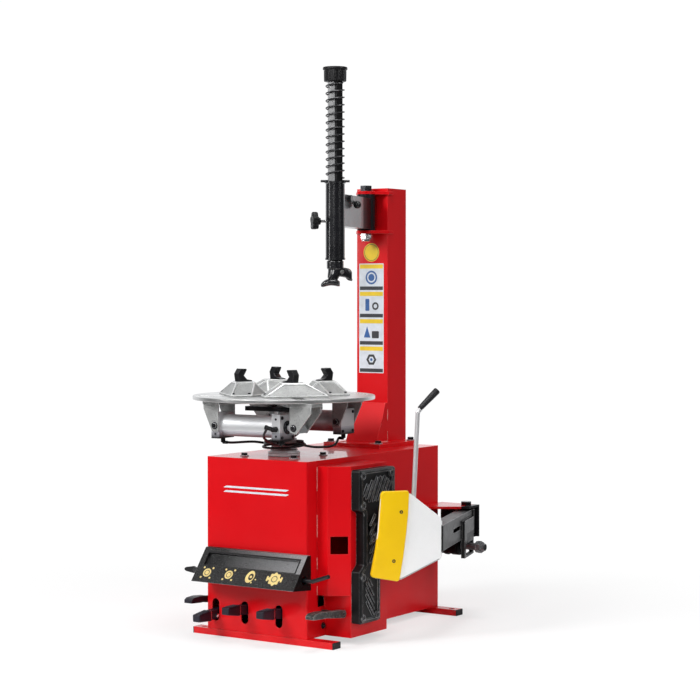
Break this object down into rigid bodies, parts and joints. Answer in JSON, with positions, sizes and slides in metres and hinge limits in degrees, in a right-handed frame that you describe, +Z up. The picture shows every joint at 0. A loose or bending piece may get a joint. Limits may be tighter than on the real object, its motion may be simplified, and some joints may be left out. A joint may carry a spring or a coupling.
{
  "type": "tyre changer",
  "caption": "Free-standing tyre changer: cabinet with pedals, clamping turntable, swing-arm column with spring-loaded mounting tool, and side bead breaker.",
  "frame": {"origin": "turntable axis at floor level", "axes": "+X to the operator's right, +Y from the pedals to the column, +Z up along the turntable axis"},
  "size_m": [0.772, 0.926, 1.783],
  "materials": {
    "red_paint": "gloss",
    "black_caps": "matte",
    "pad_rubber": "satin",
    "tray_plastic": "textured",
    "grey_iron": "cast",
    "hub_aluminium": "turned",
    "motor_paint": "satin",
    "belt_rubber": "matte",
    "black_fasteners": "black oxide",
    "black_steel": "satin black",
    "cap_plastic": "satin",
    "bright_steel": "ground",
    "valve_aluminium": "satin",
    "fitting_brass": "satin",
    "wheel_bronze": "machined",
    "disc_steel": "brushed",
    "hose_rubber": "satin",
    "cast_slides": "sand cast, zinc grey",
    "arm_steel": "satin grey",
    "white_paint": "gloss",
    "yellow_plastic": "gloss",
    "handle_chrome": "polished",
    "grip_plastic": "satin",
    "pedal_plastic": "satin"
  },
  "bodies": {
    "machine": {"cabinet": "red_paint", "side_panel": "red_paint", "feet": "red_paint", "foot_caps": "black_caps", "side_housing": "red_paint", "side_pad": "pad_rubber", "tool_tray": "tray_plastic", "gearbox": "grey_iron", "hub_flange": "hub_aluminium", "motor": "motor_paint", "drive_belt": "belt_rubber", "column": "red_paint", "frame_bolts": "black_fasteners", "pivot_pins": "black_fasteners", "breaker_bracket": "red_paint", "breaker_cylinder": "black_steel", "pedal_axle": "bright_steel", "air_valves": "valve_aluminium", "air_inlet": "fitting_brass"},
    "table": {"drive_shaft": "bright_steel", "worm_wheel": "wheel_bronze", "rotary_union": "hub_aluminium", "turntable_disc": "disc_steel", "table_hoses": "hose_rubber"},
    "link": {"link_plate": "black_steel"},
    "jaw_1": {"jaw_slide_1": "cast_slides", "jaw_hook_1": "black_steel", "clamp_barrel_1": "valve_aluminium"},
    "jaw_2": {"jaw_slide_2": "cast_slides", "jaw_hook_2": "black_steel", "clamp_rod_1": "bright_steel"},
    "jaw_3": {"jaw_slide_3": "cast_slides", "jaw_hook_3": "black_steel", "clamp_barrel_2": "valve_aluminium"},
    "jaw_4": {"jaw_slide_4": "cast_slides", "jaw_hook_4": "black_steel", "clamp_rod_2": "bright_steel"},
    "worm": {"worm_shaft": "bright_steel"},
    "rotor": {"motor_rotor": "bright_steel"},
    "arm": {"swing_arm": "arm_steel", "arm_sleeve": "black_steel", "return_spring": "black_steel"},
    "knob": {"star_knob": "black_steel"},
    "lock": {"lock_lever": "black_steel"},
    "bar": {"hex_bar": "black_steel", "bar_cap": "cap_plastic", "mount_head": "black_steel"},
    "breaker": {"breaker_arm": "arm_steel", "shovel_pin": "black_fasteners"},
    "blade": {"shovel": "white_paint", "blade_cover": "yellow_plastic", "breaker_handle": "handle_chrome", "handle_grip": "grip_plastic"},
    "push_rod": {"breaker_rod": "bright_steel"},
    "pedal_1": {"pedal_1": "pedal_plastic"},
    "pedal_2": {"pedal_2": "pedal_plastic"},
    "pedal_3": {"pedal_3": "pedal_plastic"},
    "right_pedal": {"breaker_pedal": "pedal_plastic"},
    "left_pedal": {"inflation_pedal": "pedal_plastic"},
    "lever": {"tyre_lever": "black_steel"}
  },
  "joints": [
    {"name": "turntable_spin", "type": "hinge", "parent": "machine", "child": "table", "pos_m": [0, 0, 0.56], "axis": [0, 0, 1], "continuous": true},
    {"name": "worm_spin", "type": "hinge", "parent": "machine", "child": "worm", "pos_m": [0, 0.062, 0.47], "axis": [1, 0, 0], "continuous": true},
    {"name": "motor_spin", "type": "hinge", "parent": "machine", "child": "rotor", "pos_m": [0, 0.262, 0.33], "axis": [1, 0, 0], "continuous": true},
    {"name": "link_turn", "type": "hinge", "parent": "table", "child": "link", "pos_m": [0, 0, 0.711], "axis": [0, 0, 1], "range_deg": [-4.5, 26]},
    {"name": "jaw_1_slide", "type": "slide", "parent": "table", "child": "jaw_1", "axis": [-0.6691, -0.7431, 0], "range_m": [-0.015, 0.09]},
    {"name": "jaw_2_slide", "type": "slide", "parent": "table", "child": "jaw_2", "axis": [0.7431, -0.6691, 0], "range_m": [-0.015, 0.09]},
    {"name": "jaw_3_slide", "type": "slide", "parent": "table", "child": "jaw_3", "axis": [0.6691, 0.7431, 0], "range_m": [-0.015, 0.09]},
    {"name": "jaw_4_slide", "type": "slide", "parent": "table", "child": "jaw_4", "axis": [-0.7431, 0.6691, 0], "range_m": [-0.015, 0.09]},
    {"name": "arm_swing", "type": "hinge", "parent": "machine", "child": "arm", "pos_m": [0, 0.468, 1.338], "axis": [0, 0, 1], "range_deg": [-25, 70]},
    {"name": "bar_slide", "type": "slide", "parent": "arm", "child": "bar", "axis": [0, 0, 1], "range_m": [-0.23, 0], "deforming": ["return_spring"]},
    {"name": "knob_turn", "type": "hinge", "parent": "arm", "child": "knob", "pos_m": [0.095, 0.146, 1.297], "axis": [-0.6891, -0.7246, 0], "range_deg": [0, 360]},
    {"name": "lock_turn", "type": "hinge", "parent": "arm", "child": "lock", "pos_m": [0.09472, 0.21056, 1.372], "axis": [0.9591, 0.283, 0], "range_deg": [-60, 30]},
    {"name": "breaker_swing", "type": "hinge", "parent": "machine", "child": "breaker", "pos_m": [0.309, 0.602, 0.315], "axis": [0, 0, 1], "range_deg": [0, 30]},
    {"name": "blade_tilt", "type": "hinge", "parent": "breaker", "child": "blade", "pos_m": [0.455, 0.168, 0.315], "axis": [0, 0, 1], "range_deg": [-2, 12]},
    {"name": "push_rod_slide", "type": "slide", "parent": "machine", "child": "push_rod", "axis": [1, 0, 0], "range_m": [0, 0.08]},
    {"name": "pedal_1_press", "type": "hinge", "parent": "machine", "child": "pedal_1", "pos_m": [-0.157, 0.06, 0.084], "axis": [1, 0, 0], "range_deg": [-6.2, 0]},
    {"name": "pedal_2_press", "type": "hinge", "parent": "machine", "child": "pedal_2", "pos_m": [-0.044, 0.06, 0.084], "axis": [1, 0, 0], "range_deg": [0, 6.2]},
    {"name": "pedal_3_press", "type": "hinge", "parent": "machine", "child": "pedal_3", "pos_m": [0.0865, 0.06, 0.084], "axis": [1, 0, 0], "range_deg": [0, 6.2]},
    {"name": "breaker_pedal_press", "type": "hinge", "parent": "machine", "child": "right_pedal", "pos_m": [0.262, -0.066, 0.095], "axis": [1, 0, 0], "range_deg": [0, 12]},
    {"name": "inflation_pedal_press", "type": "hinge", "parent": "machine", "child": "left_pedal", "pos_m": [-0.218, -0.066, 0.098], "axis": [1, 0, 0], "range_deg": [0, 12]},
    {"name": "lever_slide", "type": "slide", "parent": "machine", "child": "lever", "axis": [1, 0, 0], "range_m": [0, 0.42]}
  ],
  "couplings": [
    {"joint": "jaw_2_slide", "follows": "jaw_1_slide", "ratio": 1},
    {"joint": "jaw_3_slide", "follows": "jaw_1_slide", "ratio": 1},
    {"joint": "jaw_4_slide", "follows": "jaw_1_slide", "ratio": 1},
    {"joint": "link_turn", "follows": "jaw_1_slide", "rad_per_m": 5},
    {"joint": "push_rod_slide", "follows": "breaker_swing", "m_per_rad": 0.145},
    {"joint": "worm_spin", "follows": "turntable_spin", "ratio": -60},
    {"joint": "motor_spin", "follows": "turntable_spin", "ratio": -128.89}
  ]
}
